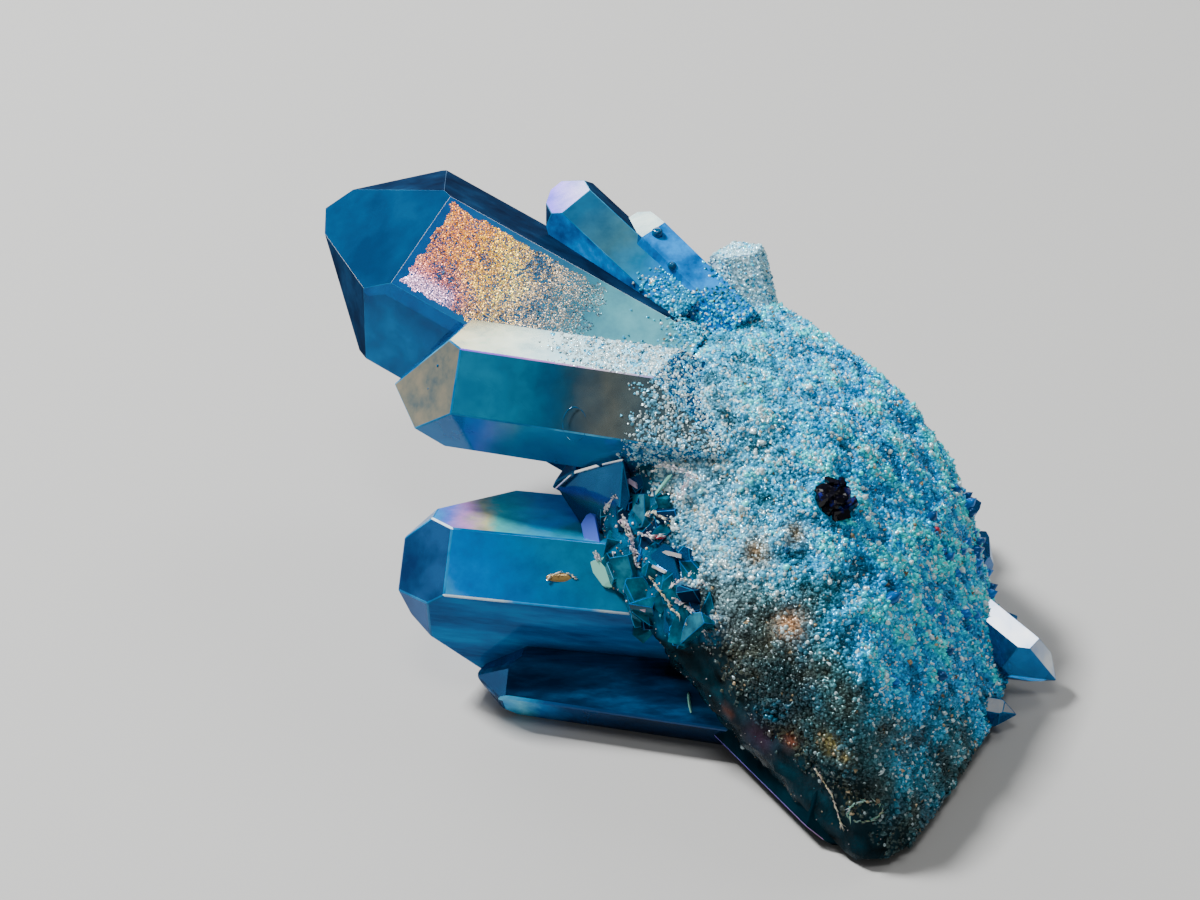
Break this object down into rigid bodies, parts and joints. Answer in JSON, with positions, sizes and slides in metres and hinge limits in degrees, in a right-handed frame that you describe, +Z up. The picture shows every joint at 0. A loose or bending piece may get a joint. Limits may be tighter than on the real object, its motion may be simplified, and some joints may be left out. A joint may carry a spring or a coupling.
{
  "type": "aura quartz crystal cluster",
  "caption": "Quartz specimen with a blue metallic coating: large clear six-sided points grown out of a sugar-like druse body that holds a black mineral grain.",
  "frame": {"origin": "centre of the bounding box in X and Y, on the plane the cluster lies on", "axes": "+Z up from the resting plane; the long points run toward -X; the druse foot with its front tip is toward -Y; +X is the druse side"},
  "size_m": [0.0616, 0.0564, 0.0333],
  "materials": {
    "aura_quartz": "clear blue quartz, smooth and glossy with an iridescent metallic coating on the points, sparkling on the druse",
    "black_mineral": "black, ragged, with a faint deep blue sheen"
  },
  "bodies": {
    "root": {"quartz_cluster": "aura_quartz", "black_mineral_grain": "black_mineral"}
  },
  "joints": []
}
